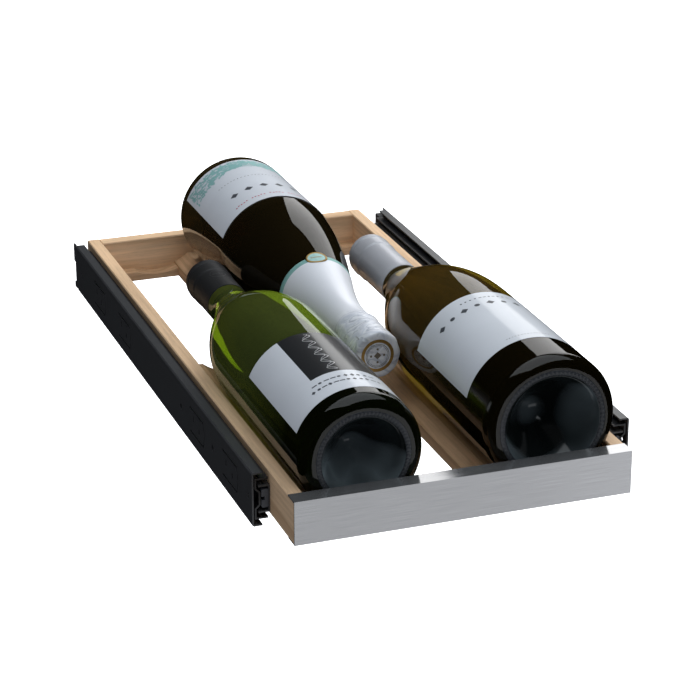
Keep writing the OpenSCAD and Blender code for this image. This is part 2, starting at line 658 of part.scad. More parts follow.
module sparkling_bottle_glass() color("#14180e") lay_middle() glass(middle_bottle);
module sparkling_bottle_wine() color("goldenrod") lay_middle() wine(middle_bottle, 1);
mushroom_h = 13;
module sparkling_bottle_cork() color("peru") lay_middle() {
    h = glass_len(middle_bottle);
    translate([0, 0, h - 25]) cylinder(h = 25 + mushroom_h - 3, r = neck_bore_r - cork_gap);
    translate([0, 0, h + 0.1]) cylinder(h = mushroom_h - 3, r1 = 12.5, r2 = 14);
    translate([0, 0, h + mushroom_h - 2.9]) cylinder(h = 2.9, r1 = 14, r2 = 12.5);
}
cap_plate_r = 14;
cap_plate_t = 0.9;
cap_plate_low = glass_len(middle_bottle) + mushroom_h + 0.1;
wire_r = 0.35;
wire_ring_r = neck_of(middle_bottle) + 0.8;
wire_strut_r = wire_ring_r + 0.2;
wire_cap_r = cap_plate_r + wire_r + 0.1;
wire_low = finish_of(middle_bottle) - 2;
wire_bend = cap_plate_low - 1.3;
module wire_ring(r, h) translate([0, 0, h]) rotate_extrude($fn = 64)
    translate([r, 0]) circle(r = wire_r, $fn = 32);
module sparkling_bottle_wire_cage() color("silver") lay_middle() {
    wire_ring(wire_ring_r, wire_low);
    wire_ring(wire_cap_r, wire_bend - wire_r + wire_strut_r - wire_cap_r);
    for (a = [45:90:315]) rotate([0, 0, a]) translate([wire_strut_r, 0, wire_low]) {
        cylinder(h = wire_bend - wire_low, r = wire_r, $fn = 32);
        translate([0, 0, wire_bend - wire_low - wire_r]) rotate([0, -45, 0])
            cylinder(h = (wire_strut_r - wire_cap_r) * sqrt(2), r = wire_r * 0.8, $fn = 32);
    }
}
module sparkling_bottle_cap_plate() color("gold") lay_middle()
    translate([0, 0, cap_plate_low]) cylinder(h = cap_plate_t, r = cap_plate_r);

// Foil over the neck and the cork, flared down the shoulder
foil_t = 0.35;
foil_low_share = 0.617;                    // where the foil ends, as a share of the shoulder
foil_air = 0.12;
function foil_curve(gap) = [for (i = [0:14]) let (t = foil_low_share + (1 - foil_low_share) * i / 14) [
    shoulder_r(middle_bottle_r, neck_of(middle_bottle), t, middle_bottle[6]) + gap,
    middle_bottle[4] + (middle_bottle[5] - middle_bottle[4]) * t
]];
function foil_cap(gap) = let (r = neck_of(middle_bottle), f = finish_of(middle_bottle), e = middle_bottle_len) [
    [r + 0.1 + gap, f - 8], [r + 1.5 + gap, f - 4.5], [r + 1.9 + gap, f - 1], [r + 1.4 + gap, f + 3],
    [r + 1.35 + gap, e - 2 + gap / 2], [r - 0.4 + gap, e - 0.5 + gap - foil_t], [0, e - 0.5 + gap - foil_t]
];
module sparkling_bottle_foil() color("aliceblue") lay_middle() rotate_extrude($fn = 96)
    polygon(concat(
        foil_curve(foil_air + foil_t), foil_cap(foil_air + foil_t),
        reversed(foil_cap(foil_air)), reversed(foil_curve(foil_air))
    ));

// Oval badge over the foil's lower edge, on top of the bottle
badge_r = 6;
badge_shift = 2;
module sparkling_bottle_badge() color("darkseagreen") lay_middle() intersection() {
    rotate_extrude($fn = 96) polygon(concat(
        [for (p = badge_curve()) p + [foil_air + foil_t + 0.35, 0]],
        reversed([for (p = badge_curve()) p + [foil_air + foil_t + 0.03, 0]])
    ));
    translate([0, 0, foil_curve(0)[0].y + 1]) rotate([-90, 0, 0]) {
        for (s = [-1, 1]) translate([s * badge_shift, 0, 0]) cylinder(h = 60, r = badge_r);
        translate([-badge_shift, -badge_r, 0]) cube([2 * badge_shift, 2 * badge_r, 60]);
    }
}
function badge_curve() = [for (i = [0:10]) let (t = 0.56 + 0.12 * i / 10) [
    shoulder_r(middle_bottle_r, neck_of(middle_bottle), t, middle_bottle[6]),
    middle_bottle[4] + (middle_bottle[5] - middle_bottle[4]) * t
]];
module sparkling_bottle_label() color("white") lay_middle()
    label(middle_bottle_r, 15, 108, -68, 68, -1);

/* ---- Drawn nodes ---- */

left_side_rail();
right_side_rail();
front_rail();
rear_rail();
front_trim();
front_batten();
rear_batten();
left_slat();
right_slat();
left_side_board();
right_side_board();
corner_dowels();
board_dowels();
slat_screws();
batten_screws();
trim_screws();
right_packing_strip();
left_slide_screws();
right_slide_screws();
left_cabinet_member();
right_cabinet_member();
left_rear_bumper();
right_rear_bumper();
left_outer_cage();
right_outer_cage();
left_outer_balls();
right_outer_balls();
left_intermediate_member();
right_intermediate_member();
left_inner_cage();
right_inner_cage();
left_inner_balls();
right_inner_balls();
left_shelf_member();
right_shelf_member();
left_front_stop();
right_front_stop();
left_release_lever();
right_release_lever();
left_bottle_glass();
left_bottle_wine();
left_bottle_cork();
left_bottle_capsule();
left_bottle_label();
left_bottle_label_panel();
right_bottle_glass();
right_bottle_wine();
right_bottle_cork();
right_bottle_capsule();
right_bottle_label();
sparkling_bottle_glass();
sparkling_bottle_wine();
sparkling_bottle_cork();
sparkling_bottle_wire_cage();
sparkling_bottle_cap_plate();
sparkling_bottle_foil();
sparkling_bottle_badge();
sparkling_bottle_label();
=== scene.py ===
"""Looks of the pull-out wine shelf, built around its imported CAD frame."""
import math
import random

import bmesh
import bpy
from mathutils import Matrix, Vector


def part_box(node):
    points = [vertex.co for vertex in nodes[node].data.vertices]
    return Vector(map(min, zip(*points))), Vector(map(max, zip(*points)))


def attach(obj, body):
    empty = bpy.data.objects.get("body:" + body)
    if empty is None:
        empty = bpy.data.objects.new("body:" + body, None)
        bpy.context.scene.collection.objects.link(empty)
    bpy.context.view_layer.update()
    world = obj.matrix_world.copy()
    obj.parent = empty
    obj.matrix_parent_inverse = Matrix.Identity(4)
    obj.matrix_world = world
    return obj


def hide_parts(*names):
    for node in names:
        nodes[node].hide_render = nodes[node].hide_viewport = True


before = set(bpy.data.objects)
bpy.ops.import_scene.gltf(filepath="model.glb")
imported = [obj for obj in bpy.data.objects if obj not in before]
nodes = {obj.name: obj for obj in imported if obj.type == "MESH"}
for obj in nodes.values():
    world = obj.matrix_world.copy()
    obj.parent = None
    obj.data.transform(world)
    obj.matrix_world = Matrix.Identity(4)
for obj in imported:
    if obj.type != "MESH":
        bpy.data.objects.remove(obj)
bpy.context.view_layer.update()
scene = bpy.context.scene
MM = 0.001
TAU = 2 * math.pi


# ---------------------------------------------------------------- camera, stage and light

def make_camera():
    """Looks down on the shelf from the front left."""
    down, turn = 21.92, 19.80                   # degrees below level, and from +Y towards +X
    data = bpy.data.cameras.new("camera")
    data.lens = 128.1
    data.sensor_width = 36
    data.clip_end = 50
    cam = bpy.data.objects.new("camera", data)
    cam.location = (-0.53995, -1.52650, 0.67495)
    cam.rotation_euler = (math.radians(90 - down), 0, math.radians(-turn))
    scene.collection.objects.link(cam)
    scene.camera = cam


def area_light(name, place, target, size, radiance, color=(1, 1, 1), glossy=True):
    """A softbox whose brightness is given as radiance, so its size can change freely."""
    data = bpy.data.lights.new(name, "AREA")
    data.shape = "RECTANGLE"
    data.size, data.size_y = size
    data.energy = radiance * math.pi * size[0] * size[1]
    data.color = color
    lamp = bpy.data.objects.new(name, data)
    lamp.location = place
    lamp.rotation_euler = (Vector(target) - Vector(place)).to_track_quat("-Z", "Y").to_euler()
    lamp.visible_glossy = glossy
    scene.collection.objects.link(lamp)


def make_stage():
    """A white floor, with soft light from behind, above, the left and the front."""
    half, level = 14.0, -0.30
    mesh = bpy.data.meshes.new("floor")
    corners = [(x * half, y * half, level) for x, y in ((-1, -1), (1, -1), (1, 1), (-1, 1))]
    mesh.from_pydata(corners, [], [(0, 1, 2, 3)])
    floor = bpy.data.objects.new("floor", mesh)
    scene.collection.objects.link(floor)
    mat = new_material("floor_paper", base=(0.9, 0.9, 0.9), rough=0.9, spec=0.0)
    shader(mat).inputs["Emission Color"].default_value = (1, 1, 1, 1)
    shader(mat).inputs["Emission Strength"].default_value = 1.0
    mesh.materials.append(mat)
    floor.visible_glossy = False
    floor.visible_diffuse = False
    floor.visible_shadow = False

    world = bpy.data.worlds.new("studio")
    scene.world = world
    world.use_nodes = True
    back = world.node_tree.nodes["Background"]
    back.inputs["Color"].default_value = (0.84, 0.90, 1.0, 1)
    back.inputs["Strength"].default_value = 0.22
    world.cycles_visibility.glossy = False
    world.cycles_visibility.transmission = False
    back_right = (0.86, 1.14, 0.80), (0, 0, 0.07), (0.84, 0.92)
    area_light("softbox_back_right", *back_right, 1.7)
    area_light("fill_back_right", *back_right, 8.6, glossy=False)
    area_light("fill_left", (-2.2, -0.5, 0.25), (-0.1, 0, 0.02), (1.5, 1.2), 0.7, glossy=False)
    area_light("softbox_above", (0.15, -0.15, 1.35), (0.05, 0, 0), (1.8, 1.8), 1.25,
               (0.90, 0.96, 1.0))
    area_light("softbox_front", (0.66, -2.1, -0.75), (0, -0.2, 0), (2.4, 1.5), 0.75,
               (0.95, 0.97, 1.0))
    scene.view_settings.view_transform = "Standard"


# ---------------------------------------------------------------- material helpers

def new_material(name, base=(0.5, 0.5, 0.5), metal=0.0, rough=0.5, spec=0.5):
    mat = bpy.data.materials.new(name)
    mat.use_nodes = True
    p = shader(mat)
    p.inputs["Base Color"].default_value = (*base, 1)
    p.inputs["Metallic"].default_value = metal
    p.inputs["Roughness"].default_value = rough
    p.inputs["Specular IOR Level"].default_value = spec
    return mat


def shader(mat):
    return mat.node_tree.nodes["Principled BSDF"]


def shade(color, k):
    """A color made darker, or paler where k is over 1."""
    return tuple(min(1, c * k) for c in color)


class Nodes:
    """Small helper that adds and links shader nodes in one material."""

    def __init__(self, mat):
        self.tree = mat.node_tree
        self.shader = shader(mat)
        self.coords = self.add("ShaderNodeTexCoord").outputs["Object"]

    def add(self, kind, **settings):
        node = self.tree.nodes.new(kind)
        for key, value in settings.items():
            setattr(node, key, value)
        return node

    def link(self, out, into):
        self.tree.links.new(out, into)

    def axis(self, name):
        split = self.add("ShaderNodeSeparateXYZ")
        self.link(self.coords, split.inputs["Vector"])
        return split.outputs[name]

    def stretched(self, axis, share):
        """Coordinates that draw a texture out along one axis, or squeeze it where share is over 1."""
        m = self.add("ShaderNodeMapping")
        m.inputs["Scale"].default_value = [share if a == axis else 1.0 for a in "XYZ"]
        self.link(self.coords, m.inputs["Vector"])
        return m.outputs["Vector"]

    def noise(self, vector, scale, detail, rough, distort=0.0):
        n = self.add("ShaderNodeTexNoise")
        n.inputs["Scale"].default_value = scale
        n.inputs["Detail"].default_value = detail
        n.inputs["Roughness"].default_value = rough
        n.inputs["Distortion"].default_value = distort
        self.link(vector, n.inputs["Vector"])
        return n.outputs["Fac"]

    def ramp(self, fac, stops):
        r = self.add("ShaderNodeValToRGB")
        e = r.color_ramp.elements
        while len(e) < len(stops):
            e.new(0.5)
        for k, (pos, col) in enumerate(stops):
            e[k].position = pos
            e[k].color = (*col, 1) if isinstance(col, tuple) else (col, col, col, 1)
        self.link(fac, r.inputs["Fac"])
        return r.outputs["Color"]

    def mix(self, fac, a, b, blend="MIX"):
        m = self.add("ShaderNodeMix", data_type="RGBA", blend_type=blend)
        for value, socket in ((fac, m.inputs[0]), (a, m.inputs[6]), (b, m.inputs[7])):
            if hasattr(value, "links"):
                self.link(value, socket)
            elif isinstance(value, tuple):
                socket.default_value = (*value, 1)
            else:
                socket.default_value = value
        return m.outputs[2]

    def math(self, op, a, b=0.0):
        m = self.add("ShaderNodeMath", operation=op)
        for value, socket in ((a, m.inputs[0]), (b, m.inputs[1])):
            if hasattr(value, "links"):
                self.link(value, socket)
            else:
                socket.default_value = value
        return m.outputs[0]

    def bump(self, height, strength, distance):
        b = self.add("ShaderNodeBump")
        b.inputs["Strength"].default_value = strength
        b.inputs["Distance"].default_value = distance
        self.link(height, b.inputs["Height"])
        self.link(b.outputs["Normal"], self.shader.inputs["Normal"])

    def color(self, value):
        self.link(value, self.shader.inputs["Base Color"])

    def rough(self, value):
        self.link(value, self.shader.inputs["Roughness"])

    def mottle(self, fac, base, dark, share):
        """The base color, partly darkened in patches."""
        self.color(self.mix(share, base, self.ramp(fac, [(0.3, shade(base, dark)), (0.7, base)])))

    def rough_by(self, fac, spread, low):
        """Roughness from low up to low + spread."""
        self.rough(self.math("ADD", self.math("MULTIPLY", fac, spread), low))


# ---------------------------------------------------------------- materials

def wood(name, along, light, dark, seed=0.0):
    """Beech: close straight grain along one axis, short flecks and a matt lacquer."""
    mat = new_material(name, base=light, rough=0.5, spec=0.35)
    n = Nodes(mat)
    grain = n.stretched(along, 0.04)
    wide = n.noise(grain, 105 + seed, 3, 0.55, 0.5)
    fine = n.noise(grain, 420 + seed, 5, 0.6, 0.2)
    flecks = n.noise(n.stretched(along, 0.12), 1500, 2, 0.5)
    tone = n.ramp(wide, [(0.30, dark), (0.52, light), (0.75, shade(light, 1.10))])
    lines = n.ramp(fine, [(0.35, 0.72), (0.60, 1.0)])
    fleck = n.ramp(flecks, [(0.30, 0.82), (0.42, 1.0)])
    n.color(n.mix(0.55, n.mix(0.7, tone, lines, "MULTIPLY"), fleck, "MULTIPLY"))
    n.rough(n.ramp(fine, [(0.3, 0.58), (0.7, 0.44)]))
    n.bump(fine, 0.25, 0.0003)
    return mat


def brushed(name, base, along):
    """Sheet steel brushed along one axis, with a painted sheen that makes the right end slightly paler.
    """
    mat = new_material(name, base=base, metal=0.8, rough=0.28)
    n = Nodes(mat)
    lines = n.noise(n.stretched(along, 0.012), 2600, 3, 0.65)
    cloud = n.noise(n.coords, 14, 2, 0.5)
    reach = n.math("ADD", n.math("MULTIPLY", n.axis("X"), 4.0), 0.5)
    streaks = n.ramp(lines, [(0.35, shade(base, 0.80)), (0.65, base)])
    # painted sheen: the color is multiplied paler towards the right end of the strip
    paler = n.ramp(reach, [(0.0, 0.78), (0.6, 0.84), (1.0, 1.0)])
    n.color(n.mix(1.0, n.mix(0.75, base, streaks), paler, "MULTIPLY"))
    n.rough(n.math("ADD", n.math("MULTIPLY", lines, 0.16), n.math("MULTIPLY", cloud, 0.10)))
    n.bump(lines, 0.22, 0.00008)
    return mat


def plated(name, base, rough, metal):
    """Dark plated or painted steel strip, with a faint mottled surface."""
    mat = new_material(name, base=base, metal=metal, rough=rough)
    n = Nodes(mat)
    cloud = n.noise(n.coords, 90, 3, 0.6)
    speck = n.noise(n.coords, 2600, 2, 0.5)
    n.mottle(cloud, base, 0.88, 0.5)
    n.rough_by(cloud, 0.10, rough - 0.05)
    n.bump(speck, 0.03, 0.00006)
    return mat


def plastic(name, base, rough):
    """Moulded plastic with a fine grain."""
    mat = new_material(name, base=base, rough=rough)
    n = Nodes(mat)
    grain = n.noise(n.coords, 3200, 2, 0.5)
    cloud = n.noise(n.coords, 60, 2, 0.5)
    n.mottle(cloud, base, 0.7, 0.4)
    n.rough_by(grain, 0.12, rough - 0.06)
    n.bump(grain, 0.2, 0.00008)
    return mat


def paper(name, base, rough=0.5):
    """Label stock: fine fibres under a clear varnish."""
    mat = new_material(name, base=base, rough=rough, spec=0.4)
    n = Nodes(mat)
    n.shader.inputs["Coat Weight"].default_value = 0.75
    n.shader.inputs["Coat Roughness"].default_value = 0.13
    fibre = n.noise(n.coords, 1800, 4, 0.6)
    cloud = n.noise(n.coords, 40, 2, 0.5)
    n.mottle(cloud, base, 0.93, 0.5)
    n.rough_by(fibre, 0.14, rough - 0.07)
    n.bump(fibre, 0.18, 0.00006)
    return mat


def ink(name, base, metal=0.0, rough=0.4):
    """Printed ink, a little uneven in tone."""
    mat = new_material(name, base=base, metal=metal, rough=rough)
    n = Nodes(mat)
    cover = n.noise(n.coords, 700, 3, 0.6)
    n.color(n.ramp(cover, [(0.3, base), (0.8, tuple(min(1, c * 1.25 + 0.01) for c in base))]))
    n.rough_by(cover, 0.12, rough - 0.06)
    return mat


def foil_metal(name, base, rough, metal, crease=0.3):
    """Printed capsule foil, with soft dents from being crimped on."""
    mat = new_material(name, base=base, metal=metal, rough=rough)
    n = Nodes(mat)
    dent = n.noise(n.stretched("Y", 0.35), 120, 3, 0.5, 0.3)
    speck = n.noise(n.coords, 1400, 2, 0.5)
    n.mottle(dent, base, 0.86, 0.4)
    n.rough_by(speck, 0.12, rough - 0.05)
    n.bump(dent, crease, 0.0006)
    return mat


def liquid_glass(name, shell, depth, base_y, tones, clear):
    """A full bottle.

    shell is the tint of the glass, depth how fast each color dies away inside, per metre, and
    tones the strength of the tint at the base and at the shoulder. clear is the share that lets
    light through, and the rest is a faint haze.
    """
    mat = new_material(name, base=shell, rough=0.015)
    p = shader(mat)
    p.inputs["Transmission Weight"].default_value = clear
    p.inputs["IOR"].default_value = 1.47
    n = Nodes(mat)
    along = n.math("ABSOLUTE", n.math("SUBTRACT", n.axis("Y"), base_y))
    ripple = n.noise(n.stretched("Y", 0.5), 38, 2, 0.4)
    tint = n.ramp(ripple, [(0.3, shade(shell, 0.86)), (0.7, shell)])
    strength = n.ramp(n.math("MULTIPLY", along, 5.0), [(0.16, tones[0]), (0.60, tones[1])])
    n.color(n.mix(1.0, tint, strength, "MULTIPLY"))
    n.bump(ripple, 0.10, 0.0012)
    density = max(depth) * 1.1
    volume = n.add("ShaderNodeVolumeAbsorption")
    volume.inputs["Color"].default_value = (*(1 - d / density for d in depth), 1)
    volume.inputs["Density"].default_value = density
    out = mat.node_tree.nodes["Material Output"]
    n.link(volume.outputs["Volume"], out.inputs["Volume"])
    return mat


def punt_glass(name, dark, reflection_color, waves, middle_z, ring):
    """The deep hollow in a bottle's base: thick, dark, wavy glass, with a painted reflection of light
    low down.
    """
    mat = new_material(name, base=dark, rough=0.05, spec=0.5)
    n = Nodes(mat)
    swell = n.noise(n.coords, waves, 0, 0.4, 0.8)
    depth = n.math("MULTIPLY", n.math("SUBTRACT", middle_z, n.axis("Z")), 0.5 / ring)
    wave = n.math("MULTIPLY", n.math("SUBTRACT", swell, 0.5), 1.5)
    painted_reflection = n.math("ADD", n.math("ADD", depth, 0.5), wave)
    half = shade(reflection_color, 0.55)
    # painted reflection: dark at the top of the hollow, pale wavy bands lower down
    n.color(n.ramp(painted_reflection, [(0.46, dark), (0.58, half), (0.80, reflection_color), (1.0, half)]))
    n.rough_by(swell, 0.10, 0.06)
    n.bump(swell, 0.35, 0.003)
    return mat


def creased_foil(name, base, band, edge_y, neck_y):
    """Pearl foil with a band along its lower edge and a crumpled neck streaked with painted crease
    shade.
    """
    band_w = 3.8 * MM
    mat = new_material(name, base=base, metal=0.15, rough=0.34)
    n = Nodes(mat)
    y = n.axis("Y")
    crush = n.noise(n.stretched("Y", 2.3), 46, 3, 0.5, 0.9)
    # painted shade: grey lines where the crush noise dips, darkening the creases round the neck
    painted_crease_shade = n.ramp(crush, [(0.38, 1.0), (0.46, (0.50, 0.52, 0.58)), (0.50, 1.0),
                           (0.58, (0.72, 0.74, 0.80)), (0.66, 1.0)])
    on_neck = n.ramp(n.math("MULTIPLY", n.math("SUBTRACT", neck_y, y), 60.0), [(0.0, 0.0), (0.6, 1.0)])
    tone = n.mix(on_neck, base, n.mix(0.8, base, painted_crease_shade, "MULTIPLY"))
    on_band = n.math("GREATER_THAN", y, edge_y - band_w)
    n.color(n.mix(on_band, tone, band))
    n.rough_by(crush, 0.2, 0.24)
    n.bump(n.math("MULTIPLY", crush, on_neck), 0.75, 0.0035)
    return mat


def ring_glass(name):
    """The rough, nearly black glass of the ring that a bottle stands on."""
    mat = new_material(name, base=(0.05, 0.055, 0.06), rough=0.3)
    n = Nodes(mat)
    grain = n.noise(n.coords, 900, 3, 0.6)
    n.color(n.ramp(grain, [(0.3, (0.022, 0.024, 0.028)), (0.7, (0.045, 0.049, 0.056))]))
    n.rough(n.ramp(grain, [(0.3, 0.16), (0.7, 0.26)]))
    n.bump(grain, 0.1, 0.0002)
    return mat


# ---------------------------------------------------------------- bottles

PUNT_STEPS = 30
RING_W = 3.6 * MM                           # width of the ring that a bottle stands on


class Bottle:
    """Axis, sizes and outline of one bottle, read from its CAD nodes."""

    def __init__(self, name, neck, ring_share, punt, shoulder, bend, finish, base_first=True):
        low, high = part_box(name + "_glass")
        self.name = name
        self.r = (high.x - low.x) / 2
        self.x = (high.x + low.x) / 2
        self.z = (high.z + low.z) / 2
        self.long = high.y - low.y
        self.base_y = low.y if base_first else high.y
        self.way = 1 if base_first else -1
        self.neck = neck * MM
        self.ring = self.r * ring_share
        self.punt = punt * MM
        self.shoulder = (shoulder[0] * MM, shoulder[1] * MM)
        self.bend = bend
        self.finish = finish * MM

    def at(self, radius, along, angle):
        """Point at a radius, a distance from the base and an angle from straight up towards +X."""
        return Vector((self.x + radius * math.sin(angle), self.base_y + self.way * along,
                       self.z + radius * math.cos(angle)))

    def shoulder_r(self, share):
        t = max(0.0, min(1.0, share)) ** self.bend
        return self.r - (self.r - self.neck) * t * t * (3 - 2 * t)

    def radius(self, along):
        start, end = self.shoulder
        return self.shoulder_r((along - start) / (end - start))

    def outline(self):
        """(radius, distance from the base); the first PUNT_STEPS steps are the hollow in the base."""
        heel, lip = 9 * MM, 0.6 * MM
        heel_steps, shoulder_steps = 12, 60
        points = []
        dome = self.ring - RING_W
        for i in range(PUNT_STEPS + 1):
            share = i / PUNT_STEPS
            points.append((dome * share, self.punt * max(0.0, math.cos(share * math.pi / 2)) ** 1.3))
        points.append((self.ring - RING_W * 0.8, 0))
        for i in range(heel_steps + 1):
            a = i / heel_steps * math.pi / 2
            points.append((self.ring + (self.r - self.ring) * math.sin(a), heel * (1 - math.cos(a))))
        start, end = self.shoulder
        for i in range(shoulder_steps + 1):
            share = i / shoulder_steps
            points.append((self.shoulder_r(share), start + (end - start) * share))
        points += [(self.neck, self.finish), (self.neck + lip, self.finish + 1.5 * MM),
                   (self.neck + lip, self.long - 1 * MM), (self.neck + lip - 1 * MM, self.long),
                   (0, self.long)]
        return points


def mesh_piece(name, verts, faces, body, mats, smooth=True):
    mesh = bpy.data.meshes.new(name)
    mesh.from_pydata([tuple(v) for v in verts], [], faces)
    mesh.validate()
    obj = bpy.data.objects.new(name, mesh)
    scene.collection.objects.link(obj)
    for mat in mats:
        mesh.materials.append(mat)
    for poly in mesh.polygons:
        poly.use_smooth = smooth
    bm = bmesh.new()
    bm.from_mesh(mesh)
    bmesh.ops.recalc_face_normals(bm, faces=bm.faces)
    bm.to_mesh(mesh)
    bm.free()
    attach(obj, body)
    return obj


def lathe(name, bottle, outline, mats, segments=192, shape=None, first=0):
    """Turns an outline of (radius, distance from the base) round a bottle's axis.

    The outline's first steps take the second material.
    """
    verts, faces, rows, count = [], [], [], 0
    for r, along in outline:
        if r < 1e-7:
            rows.append([len(verts)] * segments)
            verts.append(bottle.at(0, along, 0))
            continue
        row = []
        for k in range(segments):
            a = TAU * k / segments
            rr, ss = shape(r, along, a) if shape else (r, along)
            row.append(len(verts))
            verts.append(bottle.at(rr, ss, a))
        rows.append(row)
    for i, (low, high) in enumerate(zip(rows, rows[1:])):
        for k in range(segments):
            j = (k + 1) % segments
            quad = [low[k], low[j], high[j], high[k]]
            faces.append(list(dict.fromkeys(quad)))
        if i < first:
            count = len(faces)
    piece = mesh_piece(name, verts, faces, bottle.name, mats)
    for poly in piece.data.polygons:
        poly.material_index = 1 if poly.index < count else 0
    return piece


def bearing_ring(bottle, mat):
    """The knurled ring that the bottle stands on.

    Its rise and its knurl together reach 0.70 mm past the base, and the front rail is 0.80 mm away.
    """
    knurls, knurl, rise, steps = 76, 0.35 * MM, 0.4 * MM, 10
    middle = bottle.ring - RING_W / 2
    outline = []
    for i in range(steps + 1):
        a = math.pi * i / steps
        outline.append((middle - RING_W / 2 * math.cos(a), 0.05 * MM - rise * math.sin(a)))

    def ripple(r, along, angle):
        inner = max(0.0, 1 - abs(r - middle + 0.5 * MM) / (RING_W * 0.36))
        return r, along - knurl * min(1.0, inner * 2) * (0.5 + 0.5 * math.cos(knurls * angle))

    ring = lathe(bottle.name + "_ring", bottle, outline, [mat], knurls * 8, ripple)
    return ring


def make_bottles():
    left = Bottle("left_bottle", neck=14.6, ring_share=0.767, punt=32, shoulder=(172, 272),
                  bend=1.2, finish=311)
    right = Bottle("right_bottle", neck=15.0, ring_share=0.808, punt=34, shoulder=(137, 267),
                   bend=1.5, finish=311)
    middle = Bottle("sparkling_bottle", neck=15.2, ring_share=0.8, punt=36, shoulder=(89, 264),
                    bend=1.2, finish=284, base_first=False)
    olive = liquid_glass("olive_glass_and_wine", (0.45, 0.57, 0.14), (22, 19, 60), left.base_y,
                         (0.06, 1.0), 0.90)
    amber = liquid_glass("amber_wine_in_glass", (0.88, 0.63, 0.19), (24, 25, 62), right.base_y,
                         (0.12, 0.9), 0.955)
    brown = liquid_glass("dark_glass_and_wine", (0.60, 0.42, 0.16), (40, 52, 110), middle.base_y,
                         (1.0, 0.3), 0.95)
    looks = {left: (olive, "green_glass", 26), right: (amber, "bottle_green_glass", 19),
             middle: (brown, "dark_glass", 24)}
    frosted = ring_glass("frosted_ring")
    for bottle, (look, slot, waves) in looks.items():
        # the pale color is the painted reflection low in each hollow
        base = punt_glass(bottle.name + "_punt_glass", (0.006, 0.008, 0.008), (0.12, 0.148, 0.16),
                          waves, bottle.z, bottle.ring)
        glass = lathe(bottle.name + "_body", bottle, bottle.outline(), [look, base], first=PUNT_STEPS)
        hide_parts(bottle.name + "_glass", bottle.name + "_wine")
        bearing_ring(bottle, frosted)
    return left, right, middle


# ---------------------------------------------------------------- labels, foil and printed marks

SHEET, PRINT = 0.13 * MM, 0.19 * MM         # how far a label and its print stand off the glass


def label_sheet(name, bottle, patches, mat, node):
    """Label paper on the glass.

    Each patch is (low, high) from the base in mm and (from, to) in degrees from the top.
    """
    verts, faces = [], []

    def strip(rings, first, last):
        steps = max(2, round(abs(last - first)))
        start = len(verts)
        for k in range(steps + 1):
            a = math.radians(first + (last - first) * k / steps)
            verts.extend(bottle.at(r, h, a) for r, h in rings)
        for k in range(steps):
            a = start + 2 * k
            faces.append([a, a + 1, a + 3, a + 2])

    top, foot = bottle.r + SHEET, bottle.r + 0.02 * MM
    for (low, high), (first, last) in patches:
        low, high = low * MM, high * MM
        strip([(top, low), (top, high)], first, last)
        strip([(foot, low), (top, low)], first, last)
        strip([(foot, high), (top, high)], first, last)
        corners = ((foot, low), (top, low), (top, high), (foot, high))
        for a in (math.radians(first), math.radians(last)):
            start = len(verts)
            verts.extend(bottle.at(r, h, a) for r, h in corners)
            faces.append([start, start + 1, start + 2, start + 3])
    sheet = mesh_piece(name, verts, faces, bottle.name, [mat])
    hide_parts(node)
    return sheet


def marks(name, bottle, shapes, mat, lift=PRINT, surface=None):
    """Print: flat shapes of (arc from the top, distance from the base) in mm, laid on a bottle."""
    surface = surface or (lambda h: bottle.r)
    verts, faces = [], []
    for shape in shapes:
        start = len(verts)
        middle = (sum(u for u, _ in shape) / len(shape), sum(h for _, h in shape) / len(shape))
        for u, h in [middle, *shape]:
            r = surface(h * MM)
            verts.append(bottle.at(r + lift, h * MM, u * MM / r))
        for k in range(len(shape)):
            faces.append([start, start + 1 + k, start + 1 + (k + 1) % len(shape)])
    return mesh_piece(name, verts, faces, bottle.name, [mat], smooth=False)


def stroke(points, width):
    """A line of one width through the points, as a list of quads."""
    sides = []
    for i, (u, h) in enumerate(points):
        a, b = points[max(0, i - 1)], points[min(len(points) - 1, i + 1)]
        du, dh = b[0] - a[0], b[1] - a[1]
        size = math.hypot(du, dh) or 1
        sides.append(((u - dh / size * width / 2, h + du / size * width / 2),
                      (u + dh / size * width / 2, h - du / size * width / 2)))
    return [[a[0], a[1], b[1], b[0]] for a, b in zip(sides, sides[1:])]


def arc(u, h, ru, rh, first=0, last=360, turn=0, steps=24):
    """Points along an ellipse, which may be turned."""
    c, d = math.cos(math.radians(turn)), math.sin(math.radians(turn))
    out = []
    for k in range(steps + 1):
        a = math.radians(first + (last - first) * k / steps)
        x, y = ru * math.cos(a), rh * math.sin(a)
        out.append((u + x * c - y * d, h + x * d + y * c))
    return out


def leaf(u, h, long, wide, turn):
    """A pointed leaf."""
    c, d = math.cos(math.radians(turn)), math.sin(math.radians(turn))
    out = []
    for k in range(12):
        t = k / 12 * TAU
        x, y = long / 2 * math.cos(t), wide / 2 * math.sin(t) * abs(math.sin(t)) ** 0.6
        out.append((u + x * c - y * d, h + x * d + y * c))
    return out


def block(u, h, w, t):
    return [(u + x * w / 2, h + y * t / 2) for x, y in ((-1, -1), (1, -1), (1, 1), (-1, 1))]


def lozenge(u, h, w, t):
    return [(u - w / 2, h), (u, h - t / 2), (u + w / 2, h), (u, h + t / 2)]


def dot(u, h, r):
    return arc(u, h, r, r, 0, 360, 0, 14)[:-1]


def pips(first, last, h, size, step, seed):
    """A row of dots, dashes and lozenges where the photo has small print. It holds no letters."""
    rng = random.Random(seed)
    out, u = [], first
    while u < last:
        kind = rng.randrange(3)
        if kind == 0:
            out.append(lozenge(u, h, size * 0.66, size * 0.86))
        elif kind == 1:
            out.append(dot(u, h, size * 0.27))
        else:
            out.append(block(u, h, size * 0.8, size * 0.3))
        u += step * rng.uniform(0.9, 1.1)
    return out


